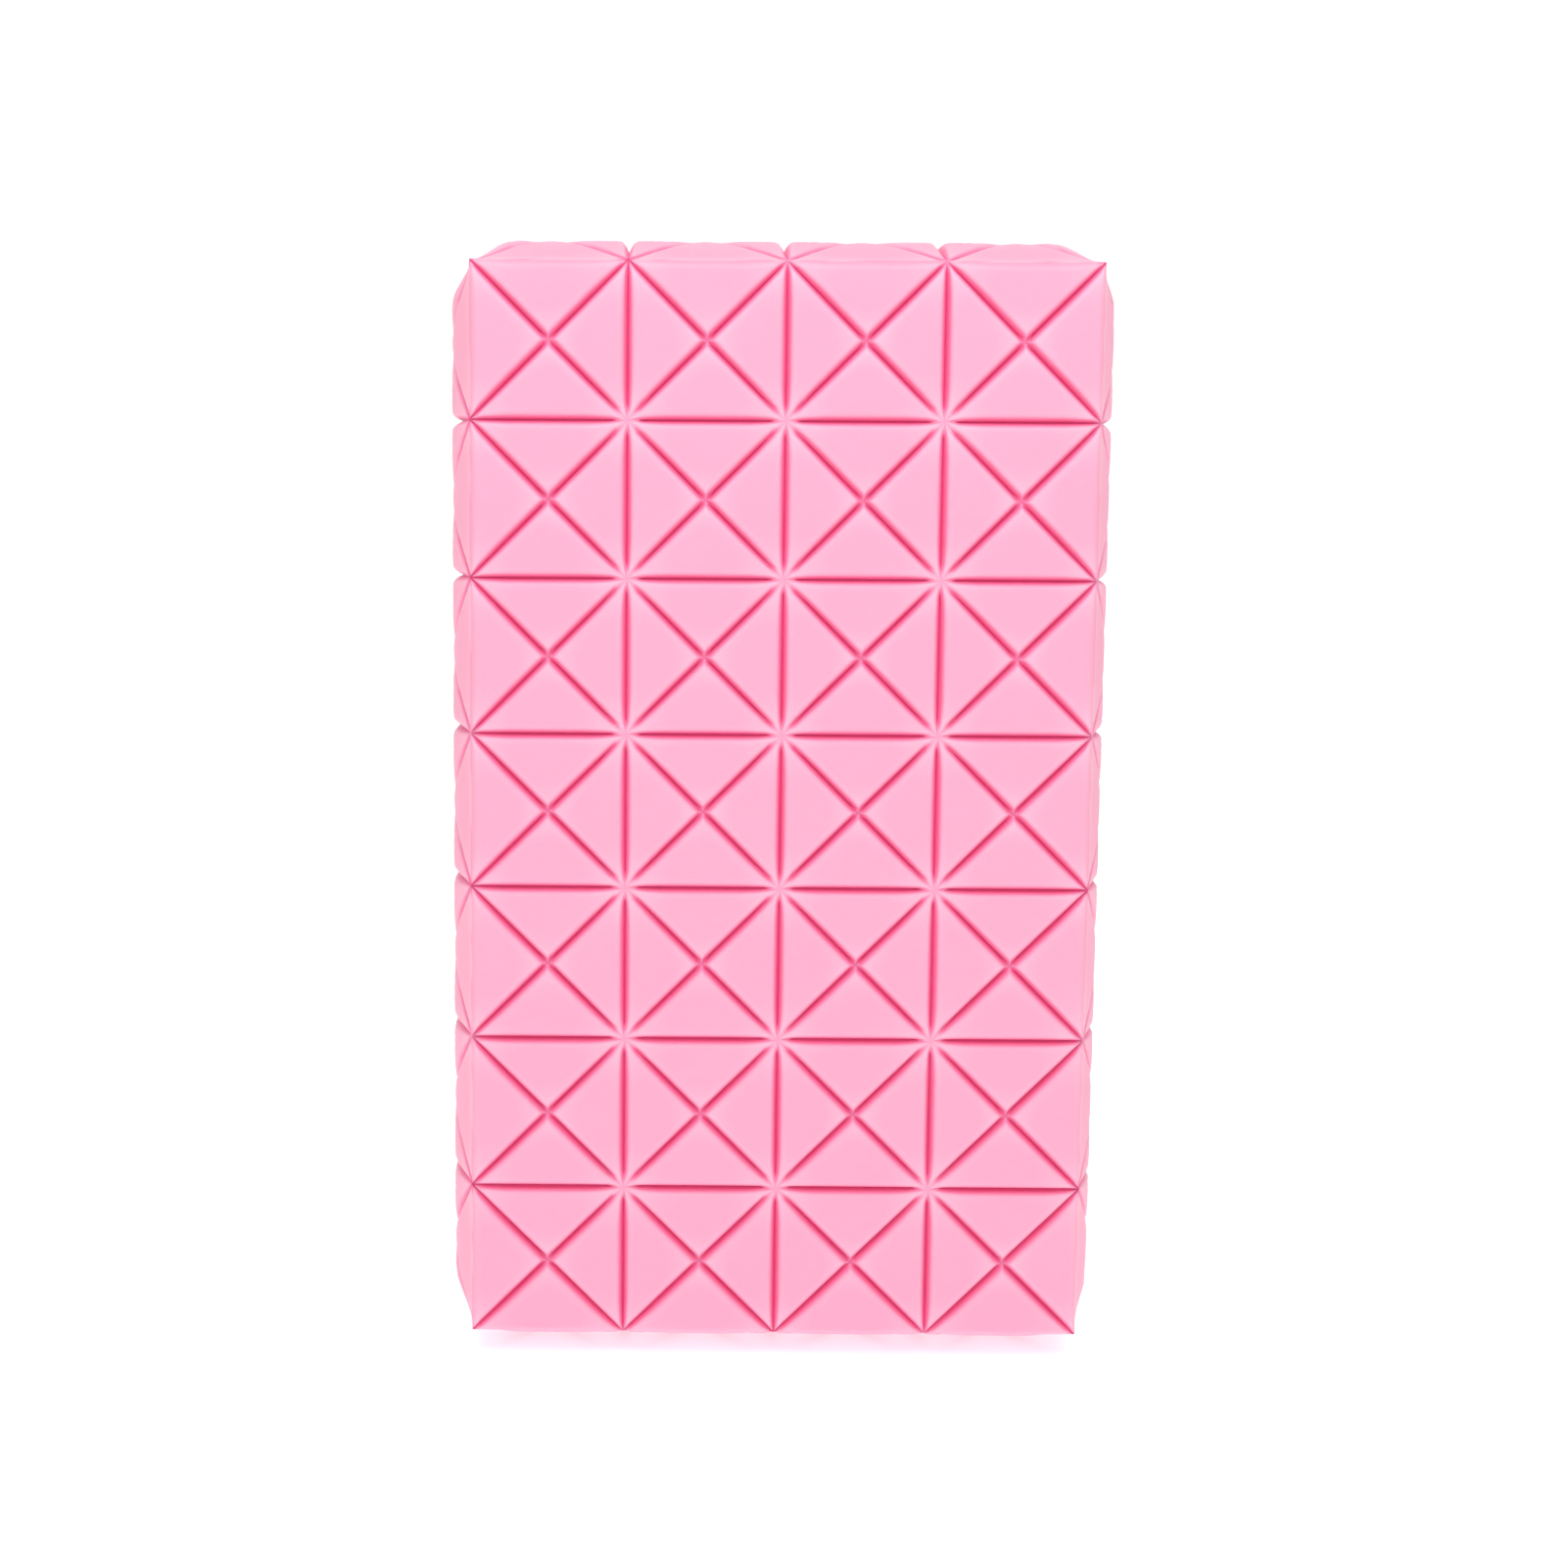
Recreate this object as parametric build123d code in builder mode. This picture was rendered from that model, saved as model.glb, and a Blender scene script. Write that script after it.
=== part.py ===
"""Soap loaf mould: one silicone moulding with quilted walls and a steel wire moulded into its rim.

Frame: +Z is the long way of the loaf, the mould standing on its lower end wall. The quilted base
faces -Y and the cavity opens towards +Y. The origin is under the middle, on the plane it stands on.
Millimetres.
"""
import math
import os

from build123d import *

# ---- Driving dimensions -------------------------------------------------------------------
cell = 25.4  # side of one quilted square, and the thickness of one cut bar of soap
cells_across = 4  # squares along X
cells_long = 7  # squares along Z
cells_deep = 3  # squares along Y, from the base to the rim

puff_height = 3.6  # top of a puffed triangle above the bottom of a crease
puff_taper = 29.0  # lean of a puff's flank from upright, degrees
crease_width = 0.5  # flat bottom of a crease
wall = 3.0  # silicone behind a crease

pad_width = 3.2  # square pad where eight creases meet
pad_height = 1.4
pad_taper = 20.0

rim_height = 8.0  # plain band round the mouth
rim_corner_radius = 5.0
rim_edge_radius = 2.0
mouth_radius = 1.5
cavity_edge_radius = 1.5
tip_clearance = 0.1  # between the recess tips and the plain frame round the recesses
recess_overlap = 1.0  # how far a recess's cutter starts inside the open cavity

wire_diameter = 2.5
wire_bend_radius = 4.0
wire_clearance = 0.05  # between the wire and the silicone moulded round it

# ---- Dependent dimensions -----------------------------------------------------------------
block_width = cell * cells_across  # the block whose faces hold the bottoms of the creases
block_length = cell * cells_long
block_depth = cell * cells_deep

mould_width = block_width + 2 * puff_height
mould_length = block_length + 2 * puff_height
mould_depth = puff_height + block_depth + rim_height

middle_height = mould_length / 2
crease_plane = -mould_depth / 2 + puff_height  # bottoms of the base's creases
rim_start = crease_plane + block_depth
rim_face = mould_depth / 2

cavity_width = block_width - 2 * wall
cavity_length = block_length - 2 * wall
cavity_floor = crease_plane + wall
rim_thickness = wall + puff_height

# The wall is even: its inside follows each crease, one wall further in, round a wider ridge.
crease_inset = crease_width / 2
ridge_inset = crease_inset + wall * math.tan(math.radians(90 - puff_taper) / 2)
cutter_inset = ridge_inset - recess_overlap * math.tan(math.radians(puff_taper))
tip_reach = 1 + math.sqrt(2)  # a triangle's sharp corner stands off by this many insets

wire_line_width = cavity_width + rim_thickness
wire_line_length = cavity_length + rim_thickness
wire_plane = (rim_start + rim_face) / 2


# ---- Quilting -----------------------------------------------------------------------------
def quilted_faces(width, length, floor):
    """The five quilted faces of a block, facing outwards, each with its cells across and along."""
    lattice_depth = (crease_plane + rim_start) / 2
    faces = [(Plane((0, floor, middle_height), x_dir=(1, 0, 0), z_dir=(0, -1, 0)), cells_across, cells_long)]
    for side in (1, -1):
        flank = Plane((side * width / 2, lattice_depth, middle_height), x_dir=(0, side, 0), z_dir=(side, 0, 0))
        end = Plane((0, lattice_depth, middle_height + side * length / 2), x_dir=(1, 0, 0), z_dir=(0, 0, side))
        faces += [(flank, cells_deep, cells_long), (end, cells_across, cells_deep)]
    return faces


def triangle(inset):
    """Corners of the lowest of the four triangles of a cell, drawn in from its three creases."""
    foot = inset - cell / 2
    tip = -inset * math.sqrt(2)
    return (foot - tip, foot), (tip - foot, foot), (0, tip)


def puffs(face, columns, rows, inset, frame, height):
    """Tapered triangles over one face, four to a cell, inside a plain frame round the face."""
    with BuildSketch(face) as triangles:
        with GridLocations(cell, cell, columns, rows):
            with PolarLocations(0, 4):
                Polygon(*triangle(inset), align=None)
        Rectangle(columns * cell - 2 * frame, rows * cell - 2 * frame, mode=Mode.INTERSECT)
    with BuildPart() as raised:
        extrude(triangles.sketch, amount=height, taper=puff_taper, clean=False)
    return raised.part


def node_pads(face, columns, rows):
    """Low square pads over one face, where the corners of four cells meet."""
    with BuildSketch(face) as squares:
        with GridLocations(cell, cell, columns - 1, rows - 1):
            Rectangle(pad_width, pad_width)
    with BuildPart() as raised:
        extrude(squares.sketch, amount=pad_height, taper=pad_taper, clean=False)
    return raised.part


outer_puffs = []
for face, columns, rows in quilted_faces(block_width, block_length, crease_plane):
    outer_puffs.append(puffs(face, columns, rows, crease_inset, crease_inset, puff_height))
    outer_puffs.append(node_pads(face, columns, rows))

# A recess is cut from just inside the open cavity, and its frame ends short of the corners of the
# triangles beside it, so that it cuts none of them.
frame = cutter_inset * tip_reach - tip_clearance
recesses = []
for face, columns, rows in quilted_faces(cavity_width, cavity_length, cavity_floor):
    start = face.offset(-recess_overlap)
    recesses.append(puffs(start, columns, rows, cutter_inset, frame, recess_overlap + puff_height))


# ---- Rim wire: a steel ring that keeps the soft mouth square ------------------------------
def rim_ring(diameter):
    """A round bar bent to a rounded rectangle, half way up the rim and half way through it."""
    half_width = wire_line_width / 2
    half_length = wire_line_length / 2
    with BuildLine(Plane((0, wire_plane, middle_height), x_dir=(1, 0, 0), z_dir=(0, -1, 0))) as path:
        FilletPolyline(
            (-half_width, -half_length),
            (half_width, -half_length),
            (half_width, half_length),
            (-half_width, half_length),
            radius=wire_bend_radius,
            close=True,
        )
    with BuildSketch(Plane(path.line @ 0, z_dir=path.line % 0)) as section:
        Circle(diameter / 2)
    with BuildPart() as ring:
        sweep(section.sketch, path=path.line)
    return ring.part


with BuildPart() as rim_wire:
    add(rim_ring(wire_diameter))

# ---- Mould body: plain band and block, hollowed out, then quilted inside and out ----------
with BuildPart() as mould_body:
    with BuildSketch(Plane.XZ.offset(-rim_face)) as band:
        with Locations((0, middle_height)):
            RectangleRounded(mould_width, mould_length, rim_corner_radius)
    extrude(amount=rim_height)
    fillet(mould_body.edges().group_by(Axis.Y)[0] + mould_body.edges().group_by(Axis.Y)[-1], rim_edge_radius)
    with BuildSketch(Plane.XZ.offset(-rim_start)) as block:
        with Locations((0, middle_height)):
            Rectangle(block_width, block_length)
    extrude(amount=block_depth)

    with BuildSketch(Plane.XZ.offset(-rim_face)) as mouth:
        with Locations((0, middle_height)):
            RectangleRounded(cavity_width, cavity_length, cavity_edge_radius)
    extrude(amount=rim_face - cavity_floor, mode=Mode.SUBTRACT)
    inside_floor = mould_body.faces().filter_by_position(Axis.Y, cavity_floor - 0.01, cavity_floor + 0.01)
    fillet(inside_floor.edges(), cavity_edge_radius)
    fillet(mould_body.faces().sort_by(Axis.Y)[-1].inner_wires().edges(), mouth_radius)
    add(rim_ring(wire_diameter + 2 * wire_clearance), mode=Mode.SUBTRACT)

    add(outer_puffs, clean=False)
    add(recesses, mode=Mode.SUBTRACT, clean=False)

# ---- Finished pieces ----------------------------------------------------------------------
mould_body.part.label = "mould_body"
rim_wire.part.label = "rim_wire"

os.makedirs("parts", exist_ok=True)
export_step(mould_body.part, "parts/mould_body.step")
export_step(rim_wire.part, "parts/rim_wire.step")

wire_length = 2 * (wire_line_width + wire_line_length) - (8 - 2 * math.pi) * wire_bend_radius
wire_section = math.pi * wire_diameter**2 / 4
print(f"mould {mould_width:.1f} x {mould_depth:.1f} x {mould_length:.1f} mm")
print(f"crease to crease inside {cavity_width:.1f} x {rim_face - cavity_floor:.1f} x {cavity_length:.1f} mm")
print(f"wire {wire_length:.0f} mm, volume by section x length {rim_wire.part.volume / (wire_length * wire_section):.4f}")
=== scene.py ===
# %% [markdown]
# # A quilted soap loaf mould, cast in pink silicone
#
# Soap makers pour a whole loaf into a mould like this one, then turn it out and cut it into bars.
# The mould is one silicone casting. Its base and its four walls are quilted: shallow creases run
# along a square grid and across each square as an X, and between the creases the wall puffs out in
# small triangular pillows. The notebook builds that skin, the plain band round the mouth, the
# silicone and steel finishes and a plain studio. The frame, loaded first, is the CAD model that
# everything is fitted to.

# %% Load the frame
import math

import bmesh
import bpy
import numpy as np
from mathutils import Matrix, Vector


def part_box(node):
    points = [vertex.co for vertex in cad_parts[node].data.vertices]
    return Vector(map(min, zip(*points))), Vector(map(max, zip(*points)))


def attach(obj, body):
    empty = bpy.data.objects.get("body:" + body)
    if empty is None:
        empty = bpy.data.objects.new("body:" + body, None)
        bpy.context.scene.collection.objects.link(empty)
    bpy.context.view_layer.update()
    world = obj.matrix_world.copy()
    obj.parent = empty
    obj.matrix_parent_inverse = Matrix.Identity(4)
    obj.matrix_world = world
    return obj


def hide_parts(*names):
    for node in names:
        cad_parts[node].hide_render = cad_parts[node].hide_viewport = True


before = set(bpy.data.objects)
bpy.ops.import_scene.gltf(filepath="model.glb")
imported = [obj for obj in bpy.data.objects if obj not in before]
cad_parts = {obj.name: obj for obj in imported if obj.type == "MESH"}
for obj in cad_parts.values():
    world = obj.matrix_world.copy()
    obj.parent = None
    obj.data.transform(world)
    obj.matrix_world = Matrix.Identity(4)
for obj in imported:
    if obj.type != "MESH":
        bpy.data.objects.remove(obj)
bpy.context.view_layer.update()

body_low, body_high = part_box("mould_body")
print("the mould fills", [round(x, 4) for x in body_high - body_low], "m")

# %% [markdown]
# ## The sizes that everything follows
#
# The quilting is set out on squares of about an inch, the thickness of a cut bar of soap: four
# across, seven along and three deep. The mould stands on one end, its quilted base towards the
# viewer. The pillows stand 2 mm above the creases. The walls also belly out past the squares of
# the base, slowly, because soft silicone has no hard edges: BELLY is how far, pillows included.

# %% Set out the squares
ACROSS, LONG, DEEP = 4, 7, 3
PILLOW = 0.0020
BELLY = 0.0040
SHELL = 0.0066  # from the mould's box to the cavity, which is also the band's thickness
BAND = 0.0080  # the band's height

mould_half = (body_high - body_low) / 2
SQUARE = (mould_half.x - BELLY) * 2 / ACROSS
HALF_WIDTH, HALF_LENGTH = ACROSS * SQUARE / 2, LONG * SQUARE / 2
MIDDLE_HEIGHT = (body_low.z + body_high.z) / 2
BASE_CREASES = body_low.y + PILLOW
BAND_START, BAND_END = body_high.y - BAND, body_high.y
ROW = (BAND_START - BASE_CREASES) / DEEP
print(f"squares {SQUARE * 1000:.2f} mm, rows of the walls {ROW * 1000:.2f} mm")


def placed(name, data):
    """A new object of the scene, at the origin."""
    thing = bpy.data.objects.new(name, data)
    bpy.context.scene.collection.objects.link(thing)
    return thing


# %% [markdown]
# ## Camera
#
# The viewer looks at the base almost square on, from a little above and to the left, so the top
# end and the left wall show as narrow scalloped strips. A lens of about 45 mm keeps the grid nearly
# straight. The camera is level with the upper rows, so a small shift puts the mould in the middle.
# Its place is counted in squares from the middle of the base.

# %% Place the camera
LEFT, BACK, UP = 0.785, 12.524, 2.065

camera = placed("camera", bpy.data.cameras.new("camera"))
camera.data.sensor_width = 36
camera.data.lens = 45.0
camera.data.shift_x = 0.0855
camera.data.shift_y = -0.0560
camera.data.clip_start, camera.data.clip_end = 0.01, 20
camera.rotation_mode = "XYZ"
camera.location = (-LEFT * SQUARE, BASE_CREASES - BACK * SQUARE, MIDDLE_HEIGHT + UP * SQUARE)
camera.rotation_euler = (math.radians(83.98), math.radians(-0.365), math.radians(0.32))
bpy.context.scene.camera = camera
print("camera at", [round(x, 3) for x in camera.location])

# %% [markdown]
# ## A short way to write node trees
#
# A node tree is easier to read as sums than as boxes and lines. `Wire` stands for one value in a
# tree and turns + - * / and ** into Math nodes. `Tree.add` makes any other node from its type, its
# settings and the values or wires of its sockets. The quilting and the finishes both use them.


# %% Wires and trees
class Wire:
    def __init__(self, socket):
        self.socket = socket

    def math(self, operation, *values, clamp=False):
        tree = Tree(self.socket.id_data)
        return tree.add("ShaderNodeMath", {"operation": operation, "use_clamp": clamp},
                        dict(enumerate((self, *values))))

    def __add__(self, other):
        return self.math("ADD", other)

    def __sub__(self, other):
        return self.math("SUBTRACT", other)

    def __mul__(self, other):
        return self.math("MULTIPLY", other)

    def __truediv__(self, other):
        return self.math("DIVIDE", other)

    def __pow__(self, other):
        return self.math("POWER", other)

    def __neg__(self):
        return self.math("MULTIPLY", -1.0)

    def __rsub__(self, other):
        return (-self).math("ADD", other)

    __radd__ = __add__
    __rmul__ = __mul__

    def smaller(self, other):
        return self.math("MINIMUM", other)

    def larger(self, other):
        return self.math("MAXIMUM", other)

    def rise(self, start, end):
        """0 up to start, 1 from end on, and a smooth ramp between them."""
        t = self.math("SUBTRACT", start).math("DIVIDE", end - start, clamp=True)
        return t * t * (3.0 - 2.0 * t)

    def out(self, name):
        """Another output of the same node."""
        return Wire(self.socket.node.outputs[name])


class Tree:
    def __init__(self, tree):
        self.tree = tree

    def add(self, kind, settings=None, sockets=None, out=0):
        node = self.tree.nodes.new(kind)
        for name, value in (settings or {}).items():
            setattr(node, name, value)
        for name, value in (sockets or {}).items():
            if isinstance(value, Wire):
                self.tree.links.new(value.socket, node.inputs[name])
            else:
                node.inputs[name].default_value = value
        return Wire(node.outputs[out]) if node.outputs else None


# %% [markdown]
# ## One pillow's tile
#
# Every square is four equal triangles, so the skin needs one triangle, turned and repeated. The
# tile is drawn in squares: its long side is the square's lower edge and its point is the middle.
# Rings of the same outline shrink towards the triangle's centre, close together in the crease,
# where the shape bends, and wide apart on the pillow. All tiles divide their long side alike, so
# the faces of the mould meet point for point.

# %% Draw the tile
EDGE_STEPS = (0, 0.05, 0.10, 0.20, 0.35, 0.5, 0.65, 0.80, 0.90, 0.95)
INRADIUS = (math.sqrt(2) - 1) / 2


def pillow_tile(name, side_steps, rings):
    """A flat tile. side_steps divide its two short sides, rings are distances in from its edge."""
    corner_a, corner_b, peak = Vector((-0.5, -0.5, 0)), Vector((0.5, -0.5, 0)), Vector((0, 0, 0))
    centre = Vector((0, INRADIUS - 0.5, 0))
    outline = [corner_a.lerp(corner_b, t) for t in EDGE_STEPS]
    outline += [corner_b.lerp(peak, t) for t in side_steps]
    outline += [peak.lerp(corner_a, 1 - t) for t in [1.0, *reversed(side_steps[1:])]]
    bm = bmesh.new()
    loops = [[bm.verts.new(p.lerp(centre, ring / INRADIUS)) for p in outline] for ring in rings]
    for outer, inner in zip(loops, loops[1:]):
        for i in range(len(outline)):
            j = (i + 1) % len(outline)
            bm.faces.new((outer[i], outer[j], inner[j], inner[i]))
    tip = bm.verts.new(centre)
    for i in range(len(outline)):
        bm.faces.new((loops[-1][i], loops[-1][(i + 1) % len(outline)], tip))
    mesh = bpy.data.meshes.new(name)
    bm.to_mesh(mesh)
    print(name, len(bm.faces), "faces")
    bm.free()
    return mesh


base_tile = pillow_tile("base_tile", (0, 0.07, 0.14, 0.3, 0.5, 0.72, 0.9, 0.965),
                        (0, 0.010, 0.022, 0.034, 0.046, 0.058, 0.080, 0.120, 0.165))
wall_tile = pillow_tile("wall_tile", (0, 0.08, 0.2, 0.45, 0.72, 0.93),
                        (0, 0.015, 0.032, 0.048, 0.062, 0.10, 0.15))
lining_tile = pillow_tile("lining_tile", (0, 0.35, 0.7), (0, 0.04, 0.085, 0.115, 0.15))

# %% [markdown]
# ## The quilting rule
#
# The quilting repeats and its shape follows a rule, so Geometry Nodes make it: four turned tiles
# make a square, squares fill a grid, doubles are merged, and every point is lifted by a height
# worked out from its place in its square. A crease has steep flanks; above the flank a pillow
# swells towards its middle; where eight creases meet, a small square pad fills their bottom. A
# wall's belly is added to all of this. The height is zero along the edges where two faces meet,
# so the faces close into a box, and only a wall's last edge, at the band, stands out.

# %% Name the inputs of the quilting tree
INPUTS = {
    "Tile": "Geometry", "Columns": "Int", "Rows": "Int", "Square": "Float", "Row": "Float",
    "Pillow height": "Float", "Shoulder height": "Float", "Crease floor": "Float",
    "Flank": "Float", "Pad height": "Float", "Belly": "Float", "Soft edges": "Float",
    "Finish": "Material"}

quilting = bpy.data.node_groups.new("quilting", "GeometryNodeTree")
quilting.is_modifier = True
for name, kind in INPUTS.items():
    quilting.interface.new_socket(name, in_out="INPUT", socket_type="NodeSocket" + kind)
quilting.interface.new_socket("Skin", in_out="OUTPUT", socket_type="NodeSocketGeometry")
print("quilting tree:", len(INPUTS), "inputs")

# %% Turn the tile into a flat grid of squares
TILE_DOUBLES = 0.0005  # in squares

grow = Tree(quilting)
given = grow.add("NodeGroupInput")
columns, rows, square = given.out("Columns"), given.out("Rows"), given.out("Square")

four = grow.add("GeometryNodePoints", sockets={"Count": 4})
turn = grow.add("ShaderNodeCombineXYZ", sockets={"Z": grow.add("GeometryNodeInputIndex") * (math.pi / 2)})
turned = grow.add("GeometryNodeInstanceOnPoints", sockets={
    "Points": four, "Instance": given.out("Tile"),
    "Rotation": grow.add("FunctionNodeEulerToRotation", sockets={"Euler": turn})})
one_square = grow.add("GeometryNodeRealizeInstances", sockets={"Geometry": turned})
grid = grow.add("GeometryNodeMeshGrid", sockets={
    "Size X": columns - 1.0, "Size Y": rows - 1.0, "Vertices X": columns, "Vertices Y": rows})
squares = grow.add("GeometryNodeInstanceOnPoints", sockets={"Points": grid, "Instance": one_square})
flat_skin = grow.add("GeometryNodeMergeByDistance", sockets={
    "Geometry": grow.add("GeometryNodeRealizeInstances", sockets={"Geometry": squares}),
    "Distance": TILE_DOUBLES})

# %% [markdown]
# ### Distances inside one square
#
# All of these are counted in squares. u and v run over the whole face, v from the base to the band
# on a wall. A square has grid lines round it and two diagonals, which make its X. On a wall with
# soft edges, the lines that it shares with the base and its neighbours aren't creases.

# %% Distances
place = grow.add("ShaderNodeSeparateXYZ", sockets={0: grow.add("GeometryNodeInputPosition")})
u, v = place.out("X") + columns / 2.0, place.out("Y") + rows / 2.0
from_middle_u = (u.math("FRACT") - 0.5).math("ABSOLUTE")
from_middle_v = (v.math("FRACT") - 0.5).math("ABSOLUTE")
to_side = u.smaller(columns - u)
to_border = to_side.smaller(v).smaller(rows - v)
soft = given.out("Soft edges")
to_line_u = 0.5 - from_middle_u + soft * to_side.math("LESS_THAN", 0.5)
to_line_v = 0.5 - from_middle_v + soft * v.math("LESS_THAN", 0.5)
to_near_x = (from_middle_u - from_middle_v).math("ABSOLUTE") / math.sqrt(2)
to_far_x = (from_middle_u + from_middle_v) / math.sqrt(2)
to_grid = 0.5 - from_middle_u.larger(from_middle_v)
to_crease = to_line_u.smaller(to_line_v).smaller(to_near_x)
to_corner = (0.5 - from_middle_u).larger(0.5 - from_middle_v)
to_middle = from_middle_u.larger(from_middle_v)

# %% Pillows and creases
SWELL_PEAK = 108.0  # 1 over the product of the distances to a pillow's three sides, at its middle
SWELL_POWER = 0.6  # below 1, so a pillow's top is broad
CORNER_HEIGHT = 0.62  # a pillow's height in its square's corners, as a share of its height elsewhere
CORNER_FLANK = 0.7  # the same share for the width of its flank


def bowed(distance, reach, power):
    """0 at no distance and 1 from reach on, steep at first and then levelling off."""
    return 1.0 - (1.0 - (distance / reach).larger(0.0).smaller(1.0)) ** power


low, high = given.out("Shoulder height"), given.out("Pillow height")
swell = (to_grid * to_near_x * to_far_x * SWELL_PEAK).larger(0.0) ** SWELL_POWER
sinking = CORNER_HEIGHT + (1.0 - CORNER_HEIGHT) * to_corner.rise(0.02, 0.22)
pillow = (low + (high - low) * swell) * sinking
flank = given.out("Flank") * (CORNER_FLANK + (1.0 - CORNER_FLANK) * to_corner.rise(0.05, 0.25))
climb = bowed(to_crease - given.out("Crease floor"), flank, 2.2)

# %% Pads and the belly
MIDDLE_PAD = 0.6  # the height of the small pad at the middle of an X, next to one at a corner
FRONT_REACH, SIDE_REACH = 0.45, 0.28  # how far from its edges a wall's belly is full

corner_pad = (1.0 - to_corner.rise(0.045, 0.095)) * to_border.rise(0.1, 0.3)
middle_pad = 1.0 - to_middle.rise(0.012, 0.032)
pad = corner_pad.larger(middle_pad * MIDDLE_PAD)
floor = given.out("Pad height") * pad
roundness = bowed(v, FRONT_REACH, 1.6) * bowed(to_side, SIDE_REACH, 2.0)
roundness = 1.0 - soft * (1.0 - roundness)
height = (given.out("Belly") + floor + (pillow - floor) * climb) * roundness
lifted = grow.add("ShaderNodeCombineXYZ", sockets={
    "X": place.out("X") * square, "Y": place.out("Y") * given.out("Row"), "Z": height})

# %% Store what the finish needs, and lift the skin
EDGE_CREASE_SHADE = 0.3  # how strong the painted shade in a crease is along a hard edge, as a share of a whole one

whole_crease = to_border.rise(0.0, 0.05).larger(soft)
# The crease and pad values place the finish's painted shade in the creases; the swell value places its
# painted highlight on the pillows' shoulders.
kept_values = {"crease": (1.0 - climb) * (EDGE_CREASE_SHADE + (1.0 - EDGE_CREASE_SHADE) * whole_crease),
               "swell": swell * climb, "pad": pad}
skin = flat_skin
for name, value in kept_values.items():
    skin = grow.add("GeometryNodeStoreNamedAttribute", {"data_type": "FLOAT", "domain": "POINT"},
                    {"Geometry": skin, "Name": name, "Value": value})
skin = grow.add("GeometryNodeSetPosition", sockets={"Geometry": skin, "Position": lifted})
skin = grow.add("GeometryNodeRealizeInstances", sockets={"Geometry": skin})
skin = grow.add("GeometryNodeSetMaterial", sockets={"Geometry": skin, "Material": given.out("Finish")})
grow.add("NodeGroupOutput", sockets={"Skin": skin})
print("quilting tree:", len(quilting.nodes), "nodes")

# %% [markdown]
# ## Growing the faces
#
# A modifier carries the tree, its inputs are set by their identifiers, and `new_from_object` turns
# the result into a plain mesh. The same tree grows the outside, pillows outwards, and the lining of
# the cavity, where a wide ridge backs each crease and a recess backs each pillow, because the wall
# is about as thick everywhere.

# %% How each face is quilted
BASE = {"Row": SQUARE, "Pillow height": PILLOW, "Shoulder height": 0.0018, "Crease floor": 0.0,
        "Flank": 0.058, "Pad height": 0.0012, "Belly": 0.0, "Soft edges": 0.0}
SIDE = {**BASE, "Row": ROW, "Belly": BELLY - PILLOW, "Soft edges": 1.0}
END = {**SIDE, "Belly": mould_half.z - HALF_LENGTH - PILLOW}
LINING = {**BASE, "Pillow height": 0.0030, "Shoulder height": 0.0028, "Crease floor": 0.08,
          "Flank": 0.065, "Pad height": 0.0}
LINING_WALL = {**LINING, "Row": ROW}
STORED = tuple(kept_values)
print("the walls' bellies:", SIDE["Belly"], "and", round(END["Belly"], 5), "m")


# %% Grow the faces
def new_finish(name):
    """A material with an empty node tree, and the tree."""
    material = bpy.data.materials.new(name)
    material.use_nodes = True
    material.node_tree.nodes.clear()
    return material, Tree(material.node_tree)


def quilted(tile, across, along, sizes):
    """Points, faces and stored values of a flat quilted face, its pillows towards +Z."""
    carrier = placed("carrier", tile.copy())
    modifier = carrier.modifiers.new("quilting", "NODES")
    modifier.node_group = quilting
    values = {"Columns": across, "Rows": along, "Square": SQUARE, "Finish": silicone, **sizes}
    for item in quilting.interface.items_tree:
        if item.in_out == "INPUT" and item.name in values:
            modifier[item.identifier] = values[item.name]
    mesh = bpy.data.meshes.new_from_object(
        carrier.evaluated_get(bpy.context.evaluated_depsgraph_get()))
    carrier.modifiers.remove(modifier)
    bpy.data.objects.remove(carrier)
    points = np.array([p.co for p in mesh.vertices])
    faces = [tuple(f.vertices) for f in mesh.polygons]
    stored = {n: np.array([d.value for d in mesh.attributes[n].data]) for n in STORED}
    bpy.data.meshes.remove(mesh)
    return points, faces, stored


silicone, silicone_tree = new_finish("pink_silicone")
outer_base = quilted(base_tile, ACROSS, LONG, BASE)
outer_side = quilted(wall_tile, LONG, DEEP, SIDE)
outer_end = quilted(wall_tile, ACROSS, DEEP, END)
inner_base = quilted(lining_tile, ACROSS, LONG, LINING)
inner_side = quilted(lining_tile, LONG, DEEP, LINING_WALL)
inner_end = quilted(lining_tile, ACROSS, DEEP, LINING_WALL)
print("base", len(outer_base[1]), "side", len(outer_side[1]), "end", len(outer_end[1]), "faces")

# %% [markdown]
# ## Folding the faces into a box
#
# Each flat face is turned onto its plane of the block: the first axis of the face becomes `across`,
# the second `along`, and its pillows point `out`. The lining goes onto the same planes, and is then
# pressed in to the cavity's walls, mostly near its edges so the ridges still back the creases.

# %% Fold
X, Y, Z = np.eye(3)
BLOCK_MIDDLE = np.array(Vector((0, (BASE_CREASES + BAND_START) / 2, MIDDLE_HEIGHT)))
BLOCK_HALF = np.array([HALF_WIDTH, DEEP * ROW / 2, HALF_LENGTH])
PLACES = (  # across, along, out, which grown face. A wall's rows run from the base to the band.
    (X, Z, -Y, "base"), (Z, Y, -X, "side"), (Z, Y, X, "side"), (X, Y, -Z, "end"), (X, Y, Z, "end"))


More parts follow.
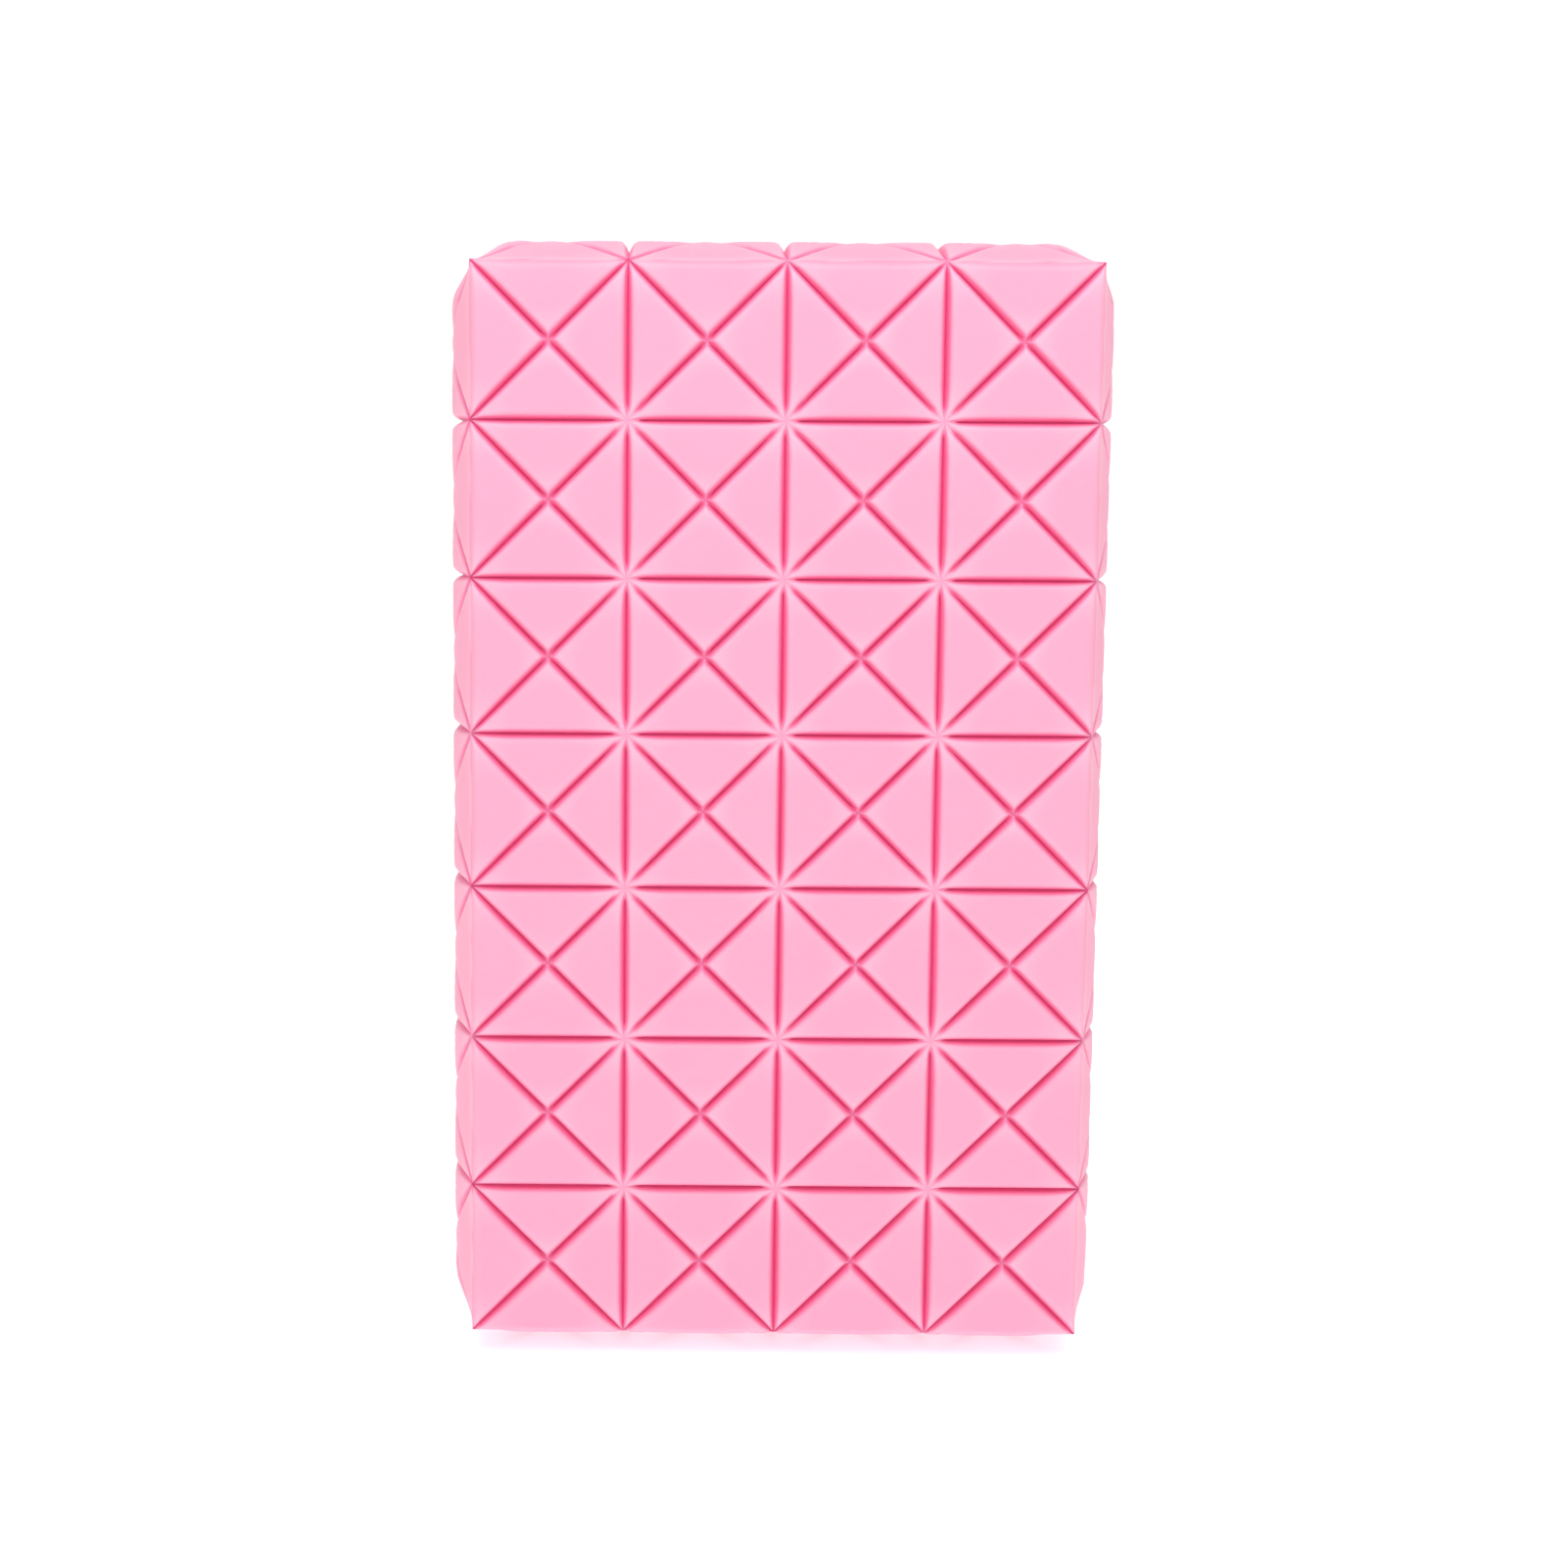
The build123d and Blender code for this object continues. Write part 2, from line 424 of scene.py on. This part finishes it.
def folded(faces_by_kind):
    """One skin's five faces: points on the block, outward directions, heights, faces and values."""
    points, heights, outs, faces, stored = [], [], [], [], {n: [] for n in STORED}
    for across, along, out, kind in PLACES:
        flat, polygons, kept = faces_by_kind[kind]
        start = sum(len(p) for p in points)
        plane = out * (BLOCK_HALF @ np.abs(out))
        points.append(flat[:, :1] * across + flat[:, 1:2] * along + plane)
        outs.append(np.tile(out, (len(flat), 1)))
        heights.append(flat[:, 2])
        faces += [tuple(i + start for i in f) for f in polygons]
        for n in STORED:
            stored[n].append(kept[n])
    return (np.vstack(points), np.vstack(outs), np.concatenate(heights), faces,
            {n: np.concatenate(stored[n]) for n in STORED})


print("the block:", [round(2000 * x, 1) for x in BLOCK_HALF], "mm")

# %% Press the lining in
CORNER = 0.0015
SQUEEZED = 0.011  # how far from an edge the lining is squeezed
CAVITY_HALF = np.array([mould_half.x - SHELL, BLOCK_HALF[1] + PILLOW - SHELL, mould_half.z - SHELL])


def smooth(t):
    t = np.clip(t, 0, 1)
    return t * t * (3 - 2 * t)


def pressed_in(points):
    """Points of the block moved to the cavity's walls, its edges rounded. The mouth stays open."""
    inwards = (BLOCK_HALF - CAVITY_HALF) * (1 - smooth((BLOCK_HALF - np.abs(points)) / SQUEEZED))
    depth = np.sign(points) * (np.abs(points) - inwards)
    mouth = points[:, 1] > 0
    depth[mouth, 1] = points[mouth, 1]
    core = CAVITY_HALF - CORNER
    nearest = np.clip(depth, -core, core)
    nearest[:, 1] = np.clip(depth[:, 1], -core[1], BLOCK_HALF[1])
    away = depth - nearest
    length = np.linalg.norm(away, axis=1, keepdims=True)
    return nearest + away / np.maximum(length, 1e-9) * CORNER


flat, outs, heights, outer_faces, outer_stored = folded(
    {"base": outer_base, "side": outer_side, "end": outer_end})
outer_points = flat + outs * heights[:, None] + BLOCK_MIDDLE
flat, outs, heights, inner_faces, inner_stored = folded(
    {"base": inner_base, "side": inner_side, "end": inner_end})
inner_points = pressed_in(flat) + outs * heights[:, None] + BLOCK_MIDDLE
print("outside", len(outer_points), "points, lining", len(inner_points))

# %% [markdown]
# ## The band round the mouth
#
# Past the last row the wall is plain: a band as thick as the wall and its pillows together, with
# rounded edges, that keeps the mouth stiff. It is made from the edge loops of the two skins. Each
# point of the outer loop is copied along the band's section, and the last copies join the lining.

# %% Find the edge loops
DOUBLES = 2e-5
ROUNDING = 1e-6  # how far off a line a point may be and still be on it


def merged(points, faces, stored):
    """A bmesh of the points and faces with doubles merged and the stored values on its points."""
    mesh = bpy.data.meshes.new("skin")
    mesh.from_pydata(points.tolist(), [], faces)
    for n, values in stored.items():
        mesh.attributes.new(n, "FLOAT", "POINT").data.foreach_set("value", values.astype(np.float32))
    bm = bmesh.new()
    bm.from_mesh(mesh)
    bpy.data.meshes.remove(mesh)
    bmesh.ops.remove_doubles(bm, verts=bm.verts, dist=DOUBLES)
    return bm


def mouth_loop(bm):
    """The open edge's points in order, from the corner at -X -Z, +X next."""
    open_edges = [e for e in bm.edges if e.is_boundary]
    start = min((p for e in open_edges for p in e.verts), key=lambda p: p.co.x + p.co.z)
    loop, last = [start], None
    while True:
        ways = [e.other_vert(loop[-1]) for e in loop[-1].link_edges if e.is_boundary]
        ways = [p for p in ways if p is not last]
        step = max(ways, key=lambda p: p.co.x) if last is None else ways[0]
        if step is start:
            return loop
        last = loop[-1]
        loop.append(step)


def on_block(p):
    """The point of the block's mouth edge that a point of the bellied skin came from."""
    x, z = p.x, p.z - MIDDLE_HEIGHT
    side_x, end_z = math.copysign(HALF_WIDTH, x), MIDDLE_HEIGHT + math.copysign(HALF_LENGTH, z)
    on_side, on_end = abs(x) > HALF_WIDTH - ROUNDING, abs(z) > HALF_LENGTH - ROUNDING
    if on_side != on_end:
        return Vector((side_x, p.y, p.z)) if on_side else Vector((p.x, p.y, end_z))
    return Vector((side_x, p.y, end_z))


outer_skin = merged(outer_points, outer_faces, outer_stored)
inner_skin = merged(inner_points, inner_faces, inner_stored)
outer_loop = [p.co.copy() for p in mouth_loop(outer_skin)]
inner_loop = [p.co.copy() for p in mouth_loop(inner_skin)]
outer_skin.free()
inner_skin.free()
print("mouth loops:", len(outer_loop), "and", len(inner_loop), "points")

# %% The band's outline
BAND_CORNER = 0.005
ARC_REACH = 0.1 * SQUARE  # points this near a corner go round its arc


def outline_point(p, inset, radius):
    """Where a point of the block's edge goes on an outline `inset` inside the mould's box."""
    x, z = p.x, p.z - MIDDLE_HEIGHT
    half_x, half_z = mould_half.x - inset, mould_half.z - inset
    near_x, near_z = HALF_WIDTH - abs(x), HALF_LENGTH - abs(z)
    on_x, on_z = near_x < near_z, near_z < near_x
    nearest = max(near_x, near_z)
    if nearest > ARC_REACH + ROUNDING:
        x = math.copysign(half_x, x) if on_x else x
        z = math.copysign(half_z, z) if on_z else z
    else:
        angle = math.radians(45) * (1 - nearest / ARC_REACH)
        if on_z:
            angle = math.pi / 2 - angle
        x = math.copysign(half_x - radius + radius * math.cos(angle), x)
        z = math.copysign(half_z - radius + radius * math.sin(angle), z)
    return x, z + MIDDLE_HEIGHT


# %% The band's section
ROUND = 0.0015  # the radius of its edges
HOLD = 0.0003  # how far from a round the next ring is, which keeps the flat beside it flat
LIP = 0.004  # how far the plain lip goes down inside the mouth


def round_over(inset, y, first, last, steps=4):
    """A quarter round about a point of the section, as insets and depths."""
    turns = [math.radians(first + (last - first) * i / steps) for i in range(steps + 1)]
    return [(inset - ROUND * math.cos(t), y + ROUND * math.sin(t)) for t in turns]


section = [(ROUND + HOLD, BAND_START)]
section += round_over(ROUND, BAND_START + ROUND, -90, 0)
section += [(0.0, (BAND_START + BAND_END) / 2)]
section += round_over(ROUND, BAND_END - ROUND, 0, 90)
section += [(ROUND + HOLD, BAND_END), (SHELL / 2, BAND_END), (SHELL - ROUND - HOLD, BAND_END)]
section += round_over(SHELL - ROUND, BAND_END - ROUND, 90, 180)
section += [(SHELL, BAND_END - LIP)]
print("band's section:", len(section), "points")

# %% Sweep the section round the mouth
band_points = [tuple(p) for p in outer_loop]
count = len(outer_loop)
for inset, y in section:
    radius = BAND_CORNER - inset if inset < SHELL / 2 else max(SHELL + CORNER - inset, CORNER)
    for p in outer_loop:
        x, z = outline_point(on_block(p), inset, radius)
        band_points.append((x, y, z))
band_points += [tuple(p) for p in inner_loop]
band_faces = []
for ring in range(len(section) + 1):
    for i in range(count):
        j = (i + 1) % count
        a, b = ring * count, (ring + 1) * count
        band_faces.append((a + i, a + j, b + j, b + i))
print("band:", len(band_faces), "faces")

# %% Join the skin, the lining and the band
PLAIN = {"crease": 0.0, "swell": 0.3, "pad": 0.0}  # the band's values

parts = ((outer_points, outer_faces, outer_stored), (inner_points, inner_faces, inner_stored),
         (np.array(band_points), band_faces, {n: np.full(len(band_points), PLAIN[n]) for n in STORED}))
all_faces, start = [], 0
for part_points, part_faces, _ in parts:
    all_faces += [tuple(i + start for i in f) for f in part_faces]
    start += len(part_points)
body = merged(np.vstack([p for p, _, _ in parts]), all_faces,
              {n: np.concatenate([stored[n] for _, _, stored in parts]) for n in STORED})
bmesh.ops.recalc_face_normals(body, faces=body.faces)
if body.calc_volume(signed=True) < 0:
    bmesh.ops.reverse_faces(body, faces=body.faces)
open_edges = sum(1 for e in body.edges if not e.is_manifold)
print(f"silicone {body.calc_volume() * 1e6:.0f} cm3, {open_edges} open edges,",
      sum(len(f.verts) - 2 for f in body.faces), "triangles")
assert open_edges == 0, "the skin isn't closed"

mould_mesh = bpy.data.meshes.new("quilted_mould")
body.to_mesh(mould_mesh)
body.free()
mould_mesh.polygons.foreach_set("use_smooth", [True] * len(mould_mesh.polygons))
mould_mesh.materials.append(silicone)
mould = placed("quilted_mould", mould_mesh)

# %% [markdown]
# ## Pink silicone
#
# Cast silicone is soft to look at: light goes a few millimetres in and comes out redder, so the
# creases glow a deep rose rather than going black; the rose and crimson of the creases are also
# painted shade in the base colour, and the pillows' lighter shoulders are a painted highlight. Its
# surface is satin, with the faint grain of the tool that it was cast in. The values that the quilting
# stored on each point tell the finish where the creases are, how far a pillow has swollen, and where
# the pads take the painted shade out of the crossings.


# %% Colours and patterns
def colour(r, g, b):
    """sRGB 0-255 to linear."""
    linear = [((c / 255 + 0.055) / 1.055) ** 2.4 if c > 10 else c / 255 / 12.92 for c in (r, g, b)]
    return (*linear, 1.0)


def blend(tree, amount, first, second):
    return tree.add("ShaderNodeMix", {"data_type": "RGBA"},
                    {"Factor": amount, 6: first, 7: second}, out=2)


def noise(tree, scale, detail, roughness=0.5):
    return tree.add("ShaderNodeTexNoise", sockets={
        "Vector": tree.add("ShaderNodeTexCoord").out("Object"),
        "Scale": scale, "Detail": detail, "Roughness": roughness})


# The pillow pink is the silicone's own colour. The lighter shoulder pink is a painted highlight on the
# pillows' rims, and the flank and crease pinks are painted shade in the creases.
SHOULDER_HIGHLIGHT_PINK, PILLOW_PINK = colour(253, 181, 203), colour(250, 166, 193)
FLANK_SHADE_PINK, CREASE_SHADE_PINK = colour(245, 130, 172), colour(236, 66, 128)
DULL_STEEL, BRIGHT_STEEL = colour(150, 152, 156), colour(196, 198, 202)

# %% Mix the silicone
mix = silicone_tree
crease, swollen, pad = (mix.add("ShaderNodeAttribute", {"attribute_name": name}).out("Fac")
                        for name in STORED)
cloud = noise(mix, 60.0, 3.0) - 0.5
# Painted shade in the creases: rose on the flanks, crimson at the bottom, less on the pads where creases
# cross.
deep = crease * (1.0 - pad * 0.75)
# Painted highlight: each pillow's shoulder by the creases is lighter than its middle; the noise adds tone
# that varies at random.
pinks_with_painted_light = blend(mix, swollen.rise(0.1, 0.8) + cloud * 0.3, SHOULDER_HIGHLIGHT_PINK, PILLOW_PINK)
pinks_with_painted_light = blend(mix, deep.rise(0.03, 0.45), pinks_with_painted_light, FLANK_SHADE_PINK)
pinks_with_painted_light = blend(mix, deep.rise(0.4, 1.0), pinks_with_painted_light, CREASE_SHADE_PINK)
grain = noise(mix, 2600.0, 2.0, 0.6)
bump = mix.add("ShaderNodeBump", sockets={"Strength": 0.12, "Distance": 0.0002, "Height": grain})
surface = mix.add("ShaderNodeBsdfPrincipled", sockets={
    "Base Color": pinks_with_painted_light, "Roughness": 0.5 + cloud * 0.12, "IOR": 1.41,
    "Subsurface Weight": 0.35, "Subsurface Radius": (1.0, 0.45, 0.5), "Subsurface Scale": 0.002,
    "Normal": bump})
mix.add("ShaderNodeOutputMaterial", sockets={"Surface": surface})
print("silicone:", len(silicone.node_tree.nodes), "nodes")

# %% [markdown]
# ## The wire in the band
#
# A steel wire is cast into the band to keep the mouth square. Nothing of it shows, but it is a
# piece of the mould, so it gets its own drawn-steel finish.

# %% Finish the wire
steel, mix = new_finish("drawn_steel")
draw_marks = noise(mix, 900.0, 3.0)
steel_surface = mix.add("ShaderNodeBsdfPrincipled", sockets={
    "Base Color": blend(mix, draw_marks, DULL_STEEL, BRIGHT_STEEL),
    "Roughness": 0.28 + draw_marks * 0.2, "Metallic": 1.0})
mix.add("ShaderNodeOutputMaterial", sockets={"Surface": steel_surface})
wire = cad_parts["rim_wire"]
wire.data.materials.clear()
wire.data.materials.append(steel)
print("wire:", len(wire.data.polygons), "faces")

# %% [markdown]
# ## Studio
#
# A white sweep, floor and wall in one, and broad soft light from above and in front.

# %% Build the sweep
FLOOR_FRONT, BEND_START, BEND_RADIUS = -3.0, 1.2, 0.8
WALL_TOP, SWEEP_HALF = 3.5, 4.0

turns = [math.radians(a) for a in range(0, 91, 6)]
profile = [(FLOOR_FRONT, 0.0)]
profile += [(BEND_START + BEND_RADIUS * math.sin(t), BEND_RADIUS - BEND_RADIUS * math.cos(t))
            for t in turns]
profile += [(BEND_START + BEND_RADIUS, WALL_TOP)]
bm = bmesh.new()
left = [bm.verts.new((-SWEEP_HALF, y, z)) for y, z in profile]
right = [bm.verts.new((SWEEP_HALF, y, z)) for y, z in profile]
for i in range(len(profile) - 1):
    bm.faces.new((left[i], right[i], right[i + 1], left[i + 1])).smooth = True
sweep_mesh = bpy.data.meshes.new("sweep")
bm.to_mesh(sweep_mesh)
bm.free()
sweep = placed("sweep", sweep_mesh)
print("sweep:", len(sweep_mesh.polygons), "faces")

# %% Finish the sweep
paper, mix = new_finish("white_paper")
paper_surface = mix.add("ShaderNodeBsdfPrincipled", sockets={
    "Base Color": (0.93, 0.93, 0.93, 1), "Roughness": 0.9, "Emission Color": (1, 1, 1, 1),
    "Emission Strength": 0.45})
mix.add("ShaderNodeOutputMaterial", sockets={"Surface": paper_surface})
sweep_mesh.materials.append(paper)

# %% Light the studio
world = bpy.data.worlds.new("studio")
bpy.context.scene.world = world
world.use_nodes = True
sky = world.node_tree.nodes["Background"]
sky.inputs["Color"].default_value = (1, 1, 1, 1)
sky.inputs["Strength"].default_value = 0.45


def softbox(name, place, aim, width, height, watts):
    lamp = placed(name, bpy.data.lights.new(name, "AREA"))
    lamp.data.shape = "RECTANGLE"
    lamp.data.size, lamp.data.size_y, lamp.data.energy = width, height, watts
    lamp.location = place
    lamp.rotation_euler = (Vector(aim) - Vector(place)).to_track_quat("-Z", "Y").to_euler()


softbox("top_light", (0.0, -0.30, 0.50), (0, -0.04, 0.12), 0.5, 0.3, 1.5)
softbox("front_light", (-0.3, -1.4, 0.6), (0, 0, 0.09), 1.2, 1.2, 3.0)
bpy.context.scene.view_settings.view_transform = "Standard"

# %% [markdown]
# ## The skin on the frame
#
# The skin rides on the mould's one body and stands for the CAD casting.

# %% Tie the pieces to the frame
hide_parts("mould_body")
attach(mould, "root")
